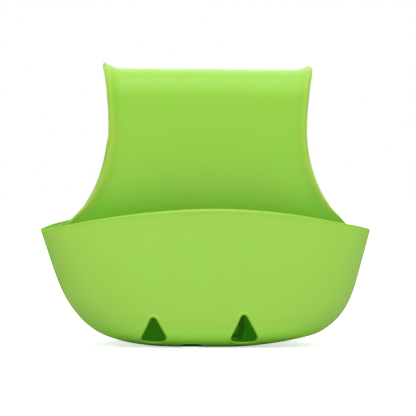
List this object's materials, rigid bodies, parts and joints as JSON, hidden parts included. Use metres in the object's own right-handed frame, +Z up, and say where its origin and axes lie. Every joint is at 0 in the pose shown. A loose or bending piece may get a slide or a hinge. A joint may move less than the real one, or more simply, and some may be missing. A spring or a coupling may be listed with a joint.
{
  "type": "kitchen sink caddy",
  "caption": "Flexible saddle caddy with a bulging drained pocket on each side of a curved strap that hangs over the divider of a double sink.",
  "frame": {"origin": "centre of the base, under the middle of the strap's bend, on the surface that both pockets stand on", "axes": "+X across the width, +Y from the front pocket to the rear pocket, +Z up; the pictured pocket faces -Y"},
  "size_m": [0.22, 0.1182, 0.1902],
  "materials": {
    "soft_green": "satin moulded soft plastic, opaque light green"
  },
  "bodies": {
    "front_half": {"front_panel": "soft_green", "front_pocket": "soft_green", "front_mouth_rim": "soft_green", "saddle_bend": "soft_green"},
    "rear_half": {"rear_panel": "soft_green", "rear_pocket": "soft_green", "rear_mouth_rim": "soft_green"}
  },
  "joints": [
    {"name": "saddle_flex", "type": "hinge", "parent": "front_half", "child": "rear_half", "pos_m": [0, 0, 0.1823], "axis": [1, 0, 0], "range_deg": [-10, 45], "stiffness_Nm_per_rad": 0.12, "deforming": ["saddle_bend"]}
  ]
}
